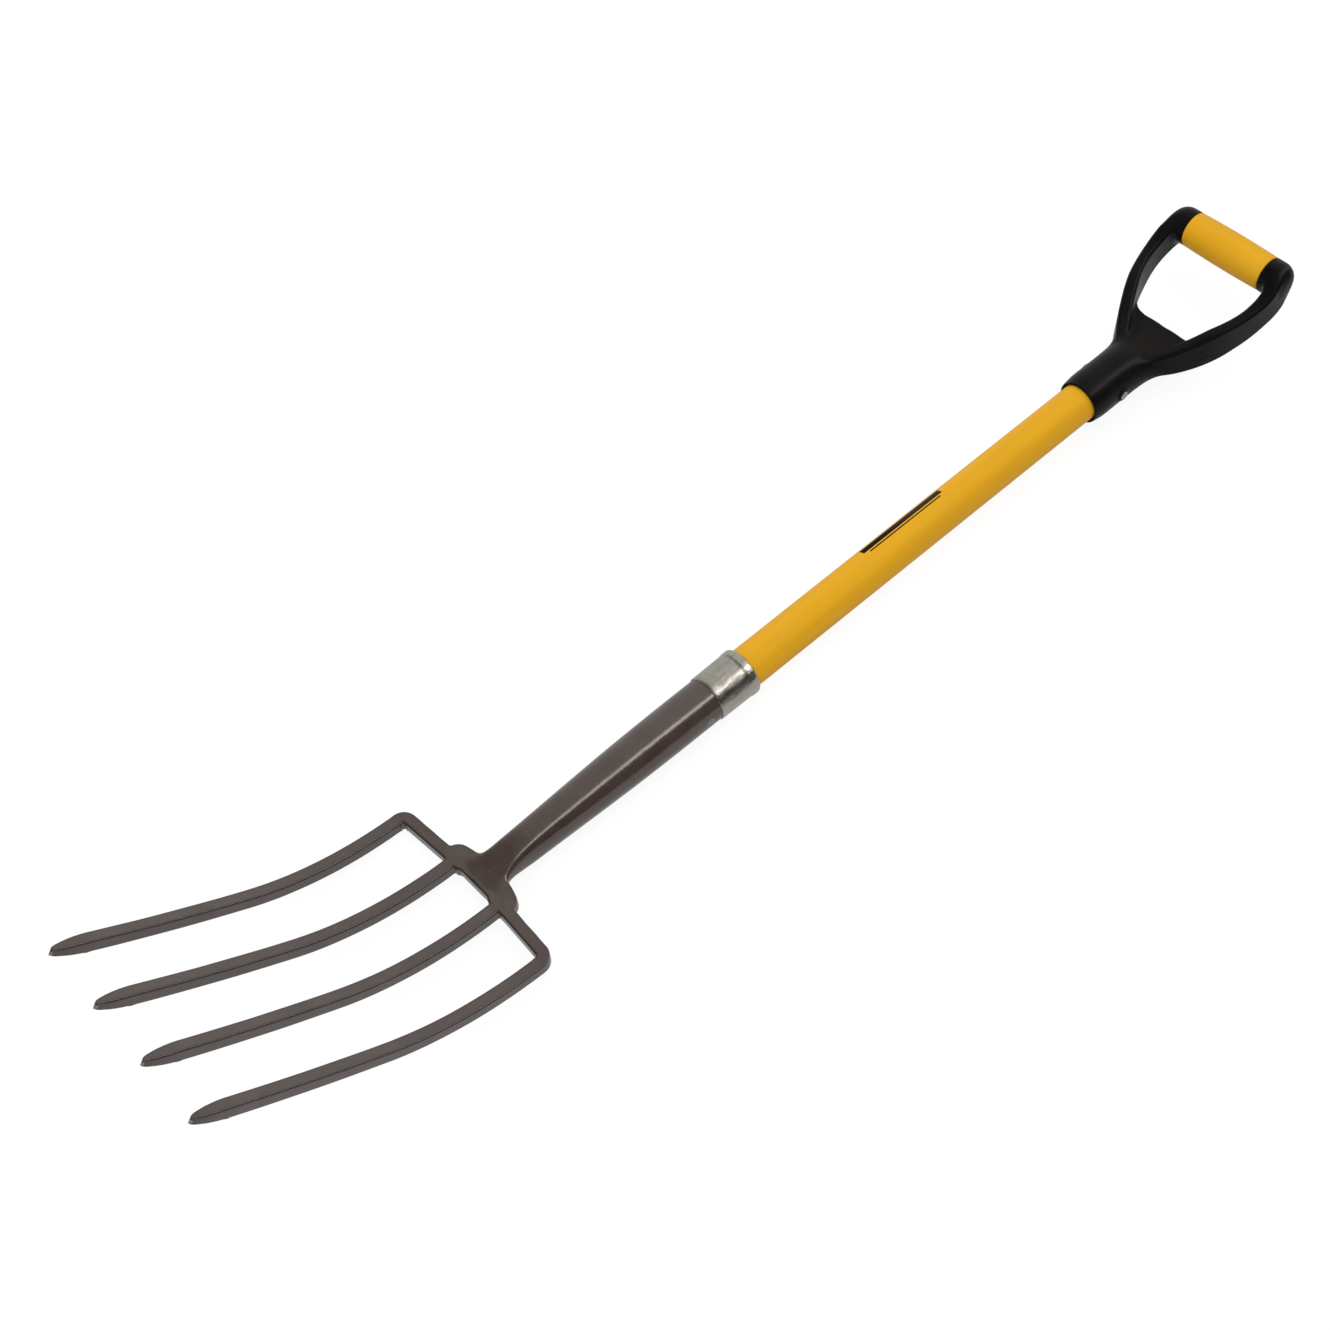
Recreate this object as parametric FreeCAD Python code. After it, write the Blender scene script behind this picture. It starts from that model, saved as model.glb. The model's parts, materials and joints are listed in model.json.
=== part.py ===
"""Four-tine digging fork with a long steel socket, a sleeved fibreglass shaft and a D handle.

The pieces are drawn about the shaft: +Y runs along its axis from the tines to the handle, +Z is the
front of the fork and +X is its right. The finished fork is then laid down as it rests on a floor: on
its ferrule, on the knee of its socket and on the heel of its left outer tine. The origin is on the
floor, under the middle of its bounding box.
"""
import FreeCAD, Part
import math
import os

os.makedirs("parts", exist_ok=True)

V = FreeCAD.Vector
X_AXIS = V(1, 0, 0)
Y_AXIS = V(0, 1, 0)
Z_AXIS = V(0, 0, 1)

# Driving dimensions, in millimetres and degrees
SHAFT_R = 17.0                # outside of the plastic sleeve on the shaft
CORE_R = 15.2                 # outside of the fibreglass tube
CORE_BORE_R = 11.2            # inside of the fibreglass tube

HEAD_THICKNESS = 10.2         # crossbar and tines, front to back
HEAD_Z = -2.0                 # middle plane of the crossbar, from the shaft axis
TINE_WIDTH = 10.2
TINE_EDGE_R = 1.3
ROOT_OUTER_X = 84.8           # tine centres at the crossbar
ROOT_INNER_X = 26.7
TIP_OUTER_X = 83.4            # tine centres at the tips
TIP_INNER_X = 28.2
ROOT_Y = -38.5                # where every tine starts to bend
ROOT_ANGLE = 5.5
BEND_ANGLE = 34.0
TIP_ANGLE = 39.2
BEND_R = 266.4                # tight bend next to the crossbar
SWEEP_R = 1866.0              # nearly straight run to the tip
POINT_LENGTH = 30.0           # forged point
POINT_WIDTH = 4.4
POINT_THICKNESS = 4.6

BAR_WIDTH = 10.2              # crossbar, along Y
BAR_FRONT_Y = -30.4           # front edge between the two inner tines
BAR_INNER_Y = -26.9           # centre line of the crossbar beside the inner tines
BAR_OUTER_Y = -30.3           # centre line of the crossbar at the outer corners
CORNER_INNER_R = 2.0
LOBE_R = 11.0                 # swelling behind each inner tine
LOBE_X = 26.9
LOBE_Y = -24.7
PLATE_REAR_Y = -11.8          # rear edge of the crossbar, under the socket

SOCKET_KNEE_R = 18.1
SOCKET_MOUTH_R = 18.7
SOCKET_KNEE_Y = 115.0
SOCKET_SEAT_Y = 204.0         # from here to the mouth the socket is a plain cylinder
SOCKET_MOUTH_Y = 224.0
SOCKET_BORE_Y = 62.0          # blind end of the bore
SOCKET_BORE_END_R = 11.4
SOCKET_RIVET_Y = 191.0
SOCKET_RIVET_R = 3.0
SOCKET_RIVET_HEAD_R = 4.3
SOCKET_RIVET_PROUD = 0.4
RIVET_SINK = 0.15             # how far a rivet head sits into the surface under it
# Outside of the socket below its seat: y, half width, half depth, height of the middle, squareness
SOCKET_TUBE = ((160, 18.6, 18.6, 0, 2.0),
               (SOCKET_KNEE_Y, SOCKET_KNEE_R, SOCKET_KNEE_R, 0, 2.0),
               (85, 17.1, 17.1, 0, 2.0),
               (60, 16.1, 16.0, 0, 2.0),
               (38, 15.1, 14.8, -0.1, 2.0),
               (20, 14.5, 13.4, -0.4, 2.1),
               (5, 14.3, 11.2, -0.7, 2.3),
               (-8, 15.6, 7.3, 0.9, 2.6),
               (-19, 19.0, 3.9, 1.0, 3.0))

CORE_START_Y = 124.0
FERRULE_Y = (203.6, 243.0)
FERRULE_R = (19.5, 20.4)
FERRULE_LIP_R = 2.6

YOKE_MOUTH_Y = 628.0
YOKE_MOUTH_R = 19.6
YOKE_NECK_R = 21.0
YOKE_BORE_END_Y = 694.0
SHAFT_END_Y = 692.0
BOSS_Y = 661.0
BOSS_R = 5.6
BOSS_X = 22.3
HANDLE_RIVET_R = 2.5
HANDLE_RIVET_HEAD_R = 3.9
HANDLE_RIVET_PROUD = 0.7
HOLE_REACH = 30.0             # half length of the cutter for a cross hole

SWEEP_START_Y = 690.0         # the handle bends towards the front from here on
GRIP_Y = 816.4
GRIP_Z = 41.0
GRIP_HALF_LENGTH = 40.5
GRIP_END_R = 15.7
GRIP_MIDDLE_R = 16.4
GRIP_BAR_R = 11.0
KNUCKLE_R = 16.0
KNUCKLE_X = 62.0
KNUCKLE_DOME = 9.0            # radius of the knuckle's outer edge
SADDLE_Y = 737.0              # lower edge of the hand opening
PLUG_LENGTH = 95.0
# Neck of the handle: y, half width, half depth, squareness
NECK_STATIONS = ((YOKE_MOUTH_Y, YOKE_MOUTH_R, YOKE_MOUTH_R, 2.0),
                 (636, 20.7, 20.7, 2.0),
                 (645, YOKE_NECK_R, YOKE_NECK_R, 2.0),
                 (656, 21.1, 21.1, 2.0),
                 (667, 21.2, 21.0, 2.0),
                 (678, 21.5, 20.5, 2.0),
                 (689, 22.9, 19.5, 2.0),
                 (700, 26.0, 17.4, 2.1),
                 (712, 30.5, 14.6, 2.3),
                 (725, 36.5, 11.2, 2.5),
                 (SADDLE_Y, 42.5, 8.2, 2.7))
# One arm of the handle: x, y, height over the middle surface, thickness, half depth, inward twist
ARM_STATIONS = ((17.5, 700, 0.2, 10.0, 10.8, 8.0),
                (27.8, 715, 1.0, 10.4, 12.6, 8.0),
                (36.6, 730, 3.8, 11.0, 14.2, 8.0),
                (45.4, 749, 6.0, 11.2, 15.4, 6.5),
                (50.5, 763, 5.8, 10.4, 15.6, 4.5),
                (53.9, 777, 4.2, 10.0, 15.2, 4.0),
                (56.1, 790, 2.4, 10.6, 14.6, 3.0),
                (56.3, 803, 0.6, 11.8, 14.2, 1.5),
                (52.0, 816, 0.0, 13.0, 14.0, 0.0))

HANDLE_SWEEP_R = ((GRIP_Y - SWEEP_START_Y) ** 2 + GRIP_Z ** 2) / (2 * GRIP_Z)


def turned(profile, axis=Y_AXIS, centre=V(0, 0, 0)):
    """Solid of revolution from a closed profile of (x, y) points about a line."""
    points = [V(x, y, 0) for x, y in profile]
    face = Part.Face(Part.makePolygon(points + points[:1]))
    return face.revolve(centre, axis, 360)


def rod(radius, start, end):
    """Round bar between two points."""
    span = end - start
    return Part.makeCylinder(radius, span.Length, start, span)


def cross_hole(radius, y):
    """Cutter for a rivet hole right through the shaft."""
    return rod(radius, V(-HOLE_REACH, y, 0), V(HOLE_REACH, y, 0))


def oval(centre, side, half_side, front, half_front, power=2.0, count=24):
    """Closed smooth outline: an ellipse, or a squarer one with a higher power."""
    points = []
    for i in range(count):
        angle = 2 * math.pi * i / count
        c, s = math.cos(angle), math.sin(angle)
        across = math.copysign(abs(c) ** (2 / power), c) * half_side
        up = math.copysign(abs(s) ** (2 / power), s) * half_front
        points.append(centre + side * across + front * up)
    curve = Part.BSplineCurve()
    curve.interpolate(points, PeriodicFlag=True)
    return Part.Wire(curve.toShape())


def arc_point(centre, radius, angle):
    """Point on the lower side of a circle in the YZ plane; the angle is the slope there."""
    a = math.radians(angle)
    return V(0, centre.y - radius * math.sin(a), centre.z - radius * math.cos(a))


def bend_centre():
    a = math.radians(ROOT_ANGLE)
    return V(0, ROOT_Y + BEND_R * math.sin(a), HEAD_Z + BEND_R * math.cos(a))


def sweep_centre():
    joint = arc_point(bend_centre(), BEND_R, BEND_ANGLE)
    a = math.radians(BEND_ANGLE)
    return V(0, joint.y + SWEEP_R * math.sin(a), joint.z + SWEEP_R * math.cos(a))


def tine_side_face():
    """Side view of one tine: two arcs below, two above, and the point thinned from the front."""
    near, far = bend_centre(), sweep_centre()
    half = HEAD_THICKNESS / 2
    point_turn = math.degrees(POINT_LENGTH / SWEEP_R)

    def run(centre, radius, a0, a1):
        middle = (a0 + a1) / 2
        return Part.Arc(*[arc_point(centre, radius, a) for a in (a0, middle, a1)]).toShape()

    below = [run(near, BEND_R + half, ROOT_ANGLE, BEND_ANGLE),
             run(far, SWEEP_R + half, BEND_ANGLE, TIP_ANGLE)]
    above = [run(far, SWEEP_R - half, TIP_ANGLE - point_turn, BEND_ANGLE),
             run(near, BEND_R - half, BEND_ANGLE, ROOT_ANGLE)]
    tip_low = arc_point(far, SWEEP_R + half, TIP_ANGLE)
    tip_high = arc_point(far, SWEEP_R + half - POINT_THICKNESS, TIP_ANGLE)
    ahead = V(0, -math.cos(math.radians(TIP_ANGLE)), math.sin(math.radians(TIP_ANGLE)))
    nose = Part.Arc(tip_low, (tip_low + tip_high) / 2 + ahead * POINT_THICKNESS / 3, tip_high).toShape()
    shoulder = arc_point(far, SWEEP_R - half, TIP_ANGLE - point_turn)
    slope = Part.makeLine(tip_high, shoulder)
    root_low = arc_point(near, BEND_R + half, ROOT_ANGLE)
    root_high = arc_point(near, BEND_R - half, ROOT_ANGLE)
    root = Part.makeLine(root_high, root_low)
    return Part.Face(Part.Wire(Part.__sortEdges__(below + [nose, slope] + above + [root])))


def tine(root_x, tip_x):
    """One tine with square section, soft edges and a point narrowed from both sides."""
    side = tine_side_face()
    blank = side.extrude(V(TINE_WIDTH, 0, 0))
    blank.translate(V(-TINE_WIDTH / 2, 0, 0))
    long_edges = [e for e in blank.Edges if e.Length > 100 and abs(e.BoundBox.XLength) < 0.01]
    blank = blank.makeFillet(TINE_EDGE_R, long_edges)
    tip = arc_point(sweep_centre(), SWEEP_R, TIP_ANGLE)
    taper_y = tip.y + POINT_LENGTH * math.cos(math.radians(TIP_ANGLE))
    nose_y = tip.y - 2 * POINT_THICKNESS
    half = TINE_WIDTH / 2 + 1
    outline = [(-half, ROOT_Y + 40), (-half, taper_y + 6), (-TINE_WIDTH / 2, taper_y),
               (-POINT_WIDTH / 2, tip.y), (-POINT_WIDTH / 5, nose_y)]
    outline += [(-x, y) for x, y in reversed(outline)]
    points = [V(x, y, -100) for x, y in outline]
    template = Part.Face(Part.makePolygon(points + points[:1])).extrude(V(0, 0, 400))
    shaped = blank.common(template)
    shaped.rotate(V(0, ROOT_Y, 0), Z_AXIS, math.degrees(math.atan2(tip_x - root_x, ROOT_Y - tip.y)))
    shaped.translate(V(root_x, 0, 0))
    return shaped


def bar(start, end, width):
    """Flat bar of the head's thickness between two (x, y) points."""
    back_z = HEAD_Z - HEAD_THICKNESS / 2
    a, b = V(start[0], start[1], back_z), V(end[0], end[1], back_z)
    side = (b - a).cross(Z_AXIS).normalize() * (width / 2)
    corners = [a - side, b - side, b + side, a + side]
    return Part.Face(Part.makePolygon(corners + corners[:1])).extrude(V(0, 0, HEAD_THICKNESS))


def disc(x, y, radius):
    return Part.makeCylinder(radius, HEAD_THICKNESS, V(x, y, HEAD_Z - HEAD_THICKNESS / 2))


def corner(sign):
    """Quarter bend from the crossbar into an outer tine."""
    centre_x = sign * (ROOT_OUTER_X - TINE_WIDTH / 2 - CORNER_INNER_R)
    centre_y = BAR_OUTER_Y - BAR_WIDTH / 2 - CORNER_INNER_R
    outer = CORNER_INNER_R + TINE_WIDTH
    ring = disc(centre_x, centre_y, outer).cut(disc(centre_x, centre_y, CORNER_INNER_R))
    low = V(min(centre_x, centre_x + sign * 2 * outer), centre_y, HEAD_Z - HEAD_THICKNESS)
    return ring.common(Part.makeBox(2 * outer, 2 * outer, 2 * HEAD_THICKNESS, low)), centre_x, centre_y


def lobe(sign):
    """Round swelling at the rear of the crossbar, cut off level with its front edge."""
    swelling = disc(sign * LOBE_X, LOBE_Y, LOBE_R)
    x, y = sign * LOBE_X, BAR_INNER_Y - BAR_WIDTH / 2 - LOBE_R
    below = bar((x - 2 * LOBE_R, y), (x + 2 * LOBE_R, y), 2 * LOBE_R)
    return swelling.cut(below)


def fork_head():
    """Forging: crossbar with sloping shoulders, two lobes and four tines."""
    middle_y = (BAR_FRONT_Y + PLATE_REAR_Y) / 2
    pieces = [bar((-LOBE_X, middle_y), (LOBE_X, middle_y), PLATE_REAR_Y - BAR_FRONT_Y)]
    for sign in (-1, 1):
        bend, bend_x, bend_y = corner(sign)
        pieces.append(bend)
        pieces.append(lobe(sign))
        pieces.append(bar((sign * LOBE_X, BAR_INNER_Y), (bend_x, BAR_OUTER_Y), BAR_WIDTH))
        pieces.append(bar((sign * ROOT_OUTER_X, bend_y), (sign * ROOT_OUTER_X, ROOT_Y - 1), TINE_WIDTH))
        pieces.append(bar((sign * ROOT_INNER_X, LOBE_Y), (sign * ROOT_INNER_X, ROOT_Y - 1), TINE_WIDTH))
        pieces.append(tine(sign * ROOT_OUTER_X, sign * TIP_OUTER_X))
        pieces.append(tine(sign * ROOT_INNER_X, sign * TIP_INNER_X))
    return pieces[0].multiFuse(pieces[1:]).removeSplitter()


def socket(head):
    """Tapered tube with a blind bore; its foot flattens and splays onto the crossbar."""
    seat = [(y, SOCKET_MOUTH_R, SOCKET_MOUTH_R, 0, 2.0) for y in (SOCKET_MOUTH_Y, SOCKET_SEAT_Y)]
    rings = []
    for y, half_width, half_depth, middle_z, power in seat + list(SOCKET_TUBE):
        rings.append(oval(V(0, y, middle_z), X_AXIS, half_width, Z_AXIS, half_depth, power))
    body = Part.makeLoft(rings, True)
    bore = turned([(0, SOCKET_BORE_Y), (SOCKET_BORE_END_R, SOCKET_BORE_Y), (CORE_R, CORE_START_Y),
                   (CORE_R, SOCKET_MOUTH_Y), (0, SOCKET_MOUTH_Y)])
    return body.cut(head).cut(bore).cut(cross_hole(SOCKET_RIVET_R, SOCKET_RIVET_Y))


def ferrule():
    """Plated steel collar over the socket mouth, flared and rolled in onto the shaft."""
    y0, y1 = FERRULE_Y
    r0, r1 = FERRULE_R
    lip = [(r1 - FERRULE_LIP_R * (1 - math.cos(a)), y1 - FERRULE_LIP_R * (1 - math.sin(a)))
           for a in map(math.radians, (0, 30, 60, 90))]
    outline = [(SOCKET_MOUTH_R, y0), (r0, y0)] + lip
    outline += [(SHAFT_R, y1), (SHAFT_R, SOCKET_MOUTH_Y), (SOCKET_MOUTH_R, SOCKET_MOUTH_Y)]
    return turned(outline)


def rivet_with_heads(y, shank_r, head_r, surface_x, proud):
    """Rivet along X with a low domed head at each end."""
    seat_x = surface_x - RIVET_SINK
    shape = rod(shank_r, V(-seat_x, y, 0), V(seat_x, y, 0))
    for sign in (-1, 1):
        cap_r = (head_r ** 2 + proud ** 2) / (2 * proud)
        ball = Part.makeSphere(cap_r, V(sign * (seat_x + proud - cap_r), y, 0))
        keep = rod(head_r, V(sign * seat_x, y, 0), V(sign * (seat_x + 2 * proud), y, 0))
        shape = shape.fuse(ball.common(keep))
    return shape.removeSplitter()


def shaft_core():
    tube = rod(CORE_R, V(0, CORE_START_Y, 0), V(0, SHAFT_END_Y, 0))
    tube = tube.cut(rod(CORE_BORE_R, V(0, CORE_START_Y, 0), V(0, SHAFT_END_Y, 0)))
    for y, radius in ((SOCKET_RIVET_Y, SOCKET_RIVET_R), (BOSS_Y, HANDLE_RIVET_R)):
        tube = tube.cut(cross_hole(radius, y))
    return tube


def shaft_jacket():
    sleeve = rod(SHAFT_R, V(0, SOCKET_MOUTH_Y, 0), V(0, SHAFT_END_Y, 0))
    sleeve = sleeve.cut(rod(CORE_R, V(0, SOCKET_MOUTH_Y, 0), V(0, SHAFT_END_Y, 0)))
    return sleeve.cut(cross_hole(HANDLE_RIVET_R, BOSS_Y))


def plug(start, end, rivet_y, rivet_r):
    """Solid filler inside an end of the fibreglass tube, drilled for the rivet."""
    return rod(CORE_BORE_R, V(0, start, 0), V(0, end, 0)).cut(cross_hole(rivet_r, rivet_y))


def handle_point(x, y):
    """Point on the curved middle surface of the D handle, with the direction normal to it."""
    reach = max(y - SWEEP_START_Y, 0)
    rise = HANDLE_SWEEP_R - math.sqrt(HANDLE_SWEEP_R ** 2 - reach ** 2)
    front = V(0, -reach, HANDLE_SWEEP_R - rise).normalize()
    return V(x, y, rise), front


def yoke_body():
    """Neck that spreads from the round collar into the web between the two arms."""
    rings = []
    for y, half_width, half_depth, power in NECK_STATIONS:
        centre, front = handle_point(0, y)
        rings.append(oval(centre, X_AXIS, half_width, front, half_depth, power))
    return Part.makeLoft(rings, True)


def arm_centre(sign, station):
    """Middle of an arm's section, and the direction out of the handle's front there."""
    surface, front = handle_point(sign * station[0], station[1])
    return surface + front * station[2], front


def yoke_arm(sign):
    """Deep ribbon-like arm from the neck to the knuckle, its front edge leaning inwards."""
    last = len(ARM_STATIONS) - 1
    rings = []
    for i, station in enumerate(ARM_STATIONS):
        thickness, half_depth, twist = station[3:]
        centre, front = arm_centre(sign, station)
        before = arm_centre(sign, ARM_STATIONS[max(i - 1, 0)])[0]
        after = arm_centre(sign, ARM_STATIONS[min(i + 1, last)])[0]
        run = after - before
        side = front.cross(run).normalize()
        turn = FreeCAD.Rotation(run, sign * twist)
        rings.append(oval(centre, turn.multVec(side), thickness / 2, turn.multVec(front), half_depth, 3.0))
    return Part.makeLoft(rings, True)


def knuckle(sign):
    """Round end that closes the grip, domed on the outside."""
    edge_x, flat_r = KNUCKLE_X - KNUCKLE_DOME, KNUCKLE_R - KNUCKLE_DOME
    profile = [(GRIP_HALF_LENGTH, 0), (GRIP_HALF_LENGTH, KNUCKLE_R), (edge_x, KNUCKLE_R)]
    for a in map(math.radians, (15, 30, 45, 60, 75, 90)):
        profile.append((edge_x + KNUCKLE_DOME * math.sin(a), flat_r + KNUCKLE_DOME * math.cos(a)))
    profile.append((KNUCKLE_X, 0))
    shape = turned(profile, axis=X_AXIS)
    if sign < 0:
        shape = shape.mirror(V(0, 0, 0), X_AXIS)
    shape.translate(V(0, GRIP_Y, GRIP_Z))
    return shape


def handle_yoke():
    """One moulding: collar, neck, two arms, knuckles and the bar inside the grip."""
    mouth = YOKE_MOUTH_Y
    ends = [V(s * (GRIP_HALF_LENGTH + 2), GRIP_Y, GRIP_Z) for s in (-1, 1)]
    pieces = [rod(BOSS_R, V(-BOSS_X, BOSS_Y, 0), V(BOSS_X, BOSS_Y, 0)), rod(GRIP_BAR_R, *ends)]
    for sign in (-1, 1):
        pieces += [yoke_arm(sign), knuckle(sign)]
    body = yoke_body().multiFuse(pieces)
    bore = turned([(0, mouth), (SHAFT_R + 1.6, mouth), (SHAFT_R, mouth + 6), (SHAFT_R, YOKE_BORE_END_Y),
                   (0, YOKE_BORE_END_Y)])
    body = body.cut(bore)
    return body.cut(cross_hole(HANDLE_RIVET_R, BOSS_Y)).removeSplitter()


def grip_sleeve():
    """Yellow barrel moulded round the grip bar."""
    half = GRIP_HALF_LENGTH
    barrel = Part.Arc(V(-half, GRIP_END_R, 0), V(0, GRIP_MIDDLE_R, 0), V(half, GRIP_END_R, 0)).toShape()
    corners = [V(half, GRIP_END_R, 0), V(half, GRIP_BAR_R, 0), V(-half, GRIP_BAR_R, 0),
               V(-half, GRIP_END_R, 0)]
    face = Part.Face(Part.Wire([barrel] + Part.makePolygon(corners).Edges))
    shape = face.revolve(V(0, 0, 0), X_AXIS, 360)
    shape.translate(V(0, GRIP_Y, GRIP_Z))
    return shape


def rest_angles():
    """Resting pose: the fork lies on its ferrule and on the socket's knee, and leans to its left until
    the heel of the left outer tine touches. Returns the shaft's tilt and the lean about the shaft."""
    rim_y = FERRULE_Y[1] - FERRULE_LIP_R
    tilt = math.atan((FERRULE_R[1] - SOCKET_KNEE_R) / (rim_y - SOCKET_KNEE_Y))
    heel_x = ROOT_OUTER_X + TINE_WIDTH / 2
    heel_z = HEAD_THICKNESS / 2 - HEAD_Z
    drop = SOCKET_KNEE_R - (SOCKET_KNEE_Y - ROOT_Y) * math.tan(tilt)
    lean = math.asin(drop / math.hypot(heel_x, heel_z)) - math.atan2(heel_z, heel_x)
    return math.degrees(tilt), math.degrees(lean)


def lay_down(shapes):
    """Turn every piece into the resting pose and put the origin under the middle of the box."""
    tilt, lean = rest_angles()
    for shape in shapes.values():
        shape.rotate(V(0, 0, 0), Y_AXIS, -lean)
        shape.rotate(V(0, 0, 0), X_AXIS, tilt)
    box = Part.makeCompound(list(shapes.values())).optimalBoundingBox(False)
    shift = V(-box.Center.x, -box.Center.y, -box.ZMin)
    for shape in shapes.values():
        shape.translate(shift)
    return shift, box


head = fork_head()
parts = {
    "fork_head": head,
    "socket": socket(head),
    "socket_rivet": rivet_with_heads(SOCKET_RIVET_Y, SOCKET_RIVET_R, SOCKET_RIVET_HEAD_R, SOCKET_MOUTH_R,
                                     SOCKET_RIVET_PROUD),
    "ferrule": ferrule(),
    "shaft_core": shaft_core(),
    "shaft_jacket": shaft_jacket(),
    "socket_end_plug": plug(CORE_START_Y, CORE_START_Y + PLUG_LENGTH, SOCKET_RIVET_Y, SOCKET_RIVET_R),
    "handle_end_plug": plug(SHAFT_END_Y - PLUG_LENGTH, SHAFT_END_Y, BOSS_Y, HANDLE_RIVET_R),
    "handle_yoke": handle_yoke(),
    "handle_rivet": rivet_with_heads(BOSS_Y, HANDLE_RIVET_R, HANDLE_RIVET_HEAD_R, BOSS_X + RIVET_SINK,
                                     HANDLE_RIVET_PROUD),
    "grip_sleeve": grip_sleeve(),
}
shift, box = lay_down(parts)
for name, shape in parts.items():
    shape.exportStep("parts/" + name + ".step")
    state = "valid" if shape.isValid() else "INVALID"
    print(name, state, len(shape.Solids), round(shape.Volume / 1000, 1), "cm3")
print("angles", [round(a, 4) for a in rest_angles()], "shift", [round(v, 3) for v in shift],
      "size", [round(v, 1) for v in (box.XLength, box.YLength, box.ZLength)])
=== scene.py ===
"""Looks of the digging fork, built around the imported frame.

Every piece is worked out in the shaft's own frame, in millimetres: +Y runs along the shaft from the
tines to the handle, +Z is the front of the fork and +X its right. The record's mounts say how that
frame lies in the row frame, and every piece goes there when its mesh is made.
"""
import json
import math

import bpy
import numpy as np
from mathutils import Matrix, Vector


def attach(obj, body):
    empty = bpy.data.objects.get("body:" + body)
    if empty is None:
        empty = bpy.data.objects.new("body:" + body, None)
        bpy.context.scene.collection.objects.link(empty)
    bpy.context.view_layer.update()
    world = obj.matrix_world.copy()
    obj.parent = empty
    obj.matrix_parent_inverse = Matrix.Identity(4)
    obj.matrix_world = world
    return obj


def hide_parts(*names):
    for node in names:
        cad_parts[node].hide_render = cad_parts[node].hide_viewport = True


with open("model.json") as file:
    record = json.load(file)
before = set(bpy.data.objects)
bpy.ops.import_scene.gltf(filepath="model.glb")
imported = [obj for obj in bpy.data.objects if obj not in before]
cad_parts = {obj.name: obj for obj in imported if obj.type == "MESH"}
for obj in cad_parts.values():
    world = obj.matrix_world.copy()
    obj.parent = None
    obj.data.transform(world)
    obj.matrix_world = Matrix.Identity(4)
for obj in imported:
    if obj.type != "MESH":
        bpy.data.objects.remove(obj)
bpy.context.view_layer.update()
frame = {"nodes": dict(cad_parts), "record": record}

MM = 0.001
BODY = "root"

# Shaft frame, from the mounts: the grip lies along X and the shaft along Y
MOUNTS = {mount["name"]: mount for mount in frame["record"]["mounts"]}
CLIP_Y = 430.0           # the clip's place along the shaft
ALONG = Vector(MOUNTS["shaft_clip"]["axis"]).normalized()
FRONT = Vector(MOUNTS["hanging_hook"]["axis"]).cross(ALONG).normalized()
ACROSS = ALONG.cross(FRONT)
ORIGIN = Vector(MOUNTS["shaft_clip"]["pos_m"]) - ALONG * CLIP_Y * MM
AXES = np.array([ACROSS, ALONG, FRONT])

# Sizes of the fork, in millimetres and degrees
SHAFT_R = 17.0
CORE_R = 15.2
SHAFT_END_Y = 692.0

HEAD_Z = -2.0
HALF_THICK = 5.1
TINE_HALF = 5.1
EDGE_R = 1.4
ROOT_Y = -38.5
ROOT_OUTER_X, TIP_OUTER_X = 84.8, 83.4
ROOT_INNER_X, TIP_INNER_X = 26.7, 28.2
EASE_LENGTH = 10.0
BEND_LENGTH, SWEEP_LENGTH = 132.5, 169.3
ROOT_ANGLE, BEND_ANGLE, TIP_ANGLE = 5.5, 34.0, 39.2
TINE_TIP = ROOT_Y - BEND_LENGTH - SWEEP_LENGTH
POINT_LENGTH = 30.0
POINT_POWER = 2.2                            # roundness of a point's outline
FRONT_BEVEL, BACK_BEVEL = 3.4, 1.0           # how far a point's faces slope in at its tip
HEEL_RISE, HEEL_BEFORE, HEEL_LENGTH = 0.55, 2.5, 2.2     # ridge behind the point, on the back
CORNER_INNER_R = 2.0
CORNER_OVERLAP = 1.7                         # how far a corner runs on into its bar and its tine
BAR_INNER_Y, BAR_OUTER_Y = -26.9, -30.3
BAR_FRONT_Y, PLATE_REAR_Y = -30.4, -11.8
LOBE_X, LOBE_Y, LOBE_R = 26.9, -24.7, 11.0
PLATE_CORNER, LOBE_BLEND, SHOULDER_BLEND, TINE_BLEND = 9.0, 3.5, 2.0, 1.6
# Length of the bare tips, and width of the band of painted shade along the head's top edges
WORN_LENGTH, EDGE_SHADE_WIDTH = 5.0, 2.0

SOCKET_MOUTH_Y = 224.0
SOCKET_SPLIT_Y = -13.0
SOCKET_BORE_Y, SOCKET_BORE_R = 62.0, 11.4
CORE_START_Y = 124.0
FOOT_END_Y = -27.0
FOOT_BLEND = 4.5
SPLIT_OVERLAP, SPLIT_STEP = 3.0, 0.05        # the head runs on just under the socket's skin
FERRULE_Y = (203.6, 243.0)
FERRULE_R = (19.5, 20.4)
FERRULE_BORE_R = 18.75
SOCKET_RIVET_Y = 191.0

# Socket at places along the shaft: half width, height over and depth under the axis, and the power
# of its section, 2 for an ellipse and more for a squarer one
TUBE = [(60, 16.1), (85, 17.1), (115, 18.1), (150, 18.65), (205, 18.7), (224, 18.7)]
SOCKET_WIDTH = [(-27, 21.0), (-20, 19.0), (-13, 16.4), (-6, 14.6), (6, 13.9), (20, 14.2),
                (38, 15.0)] + TUBE
SOCKET_TOP = [(-27, 2.0), (-20, 3.9), (-13, 5.8), (-6, 8.4), (4, 11.6), (16, 13.7),
              (30, 14.7)] + TUBE
SOCKET_LOW = [(-27, 4.5), (-20, 5.2), (-10, 6.6), (-3, 8.6), (6, 11.6), (16, 13.6),
              (30, 14.7)] + TUBE
SOCKET_POWER = [(-27, 3.4), (-12, 3.2), (0, 3.0), (15, 2.6), (35, 2.3), (60, 2.1), (90, 2.0),
                (224, 2.0)]

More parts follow.
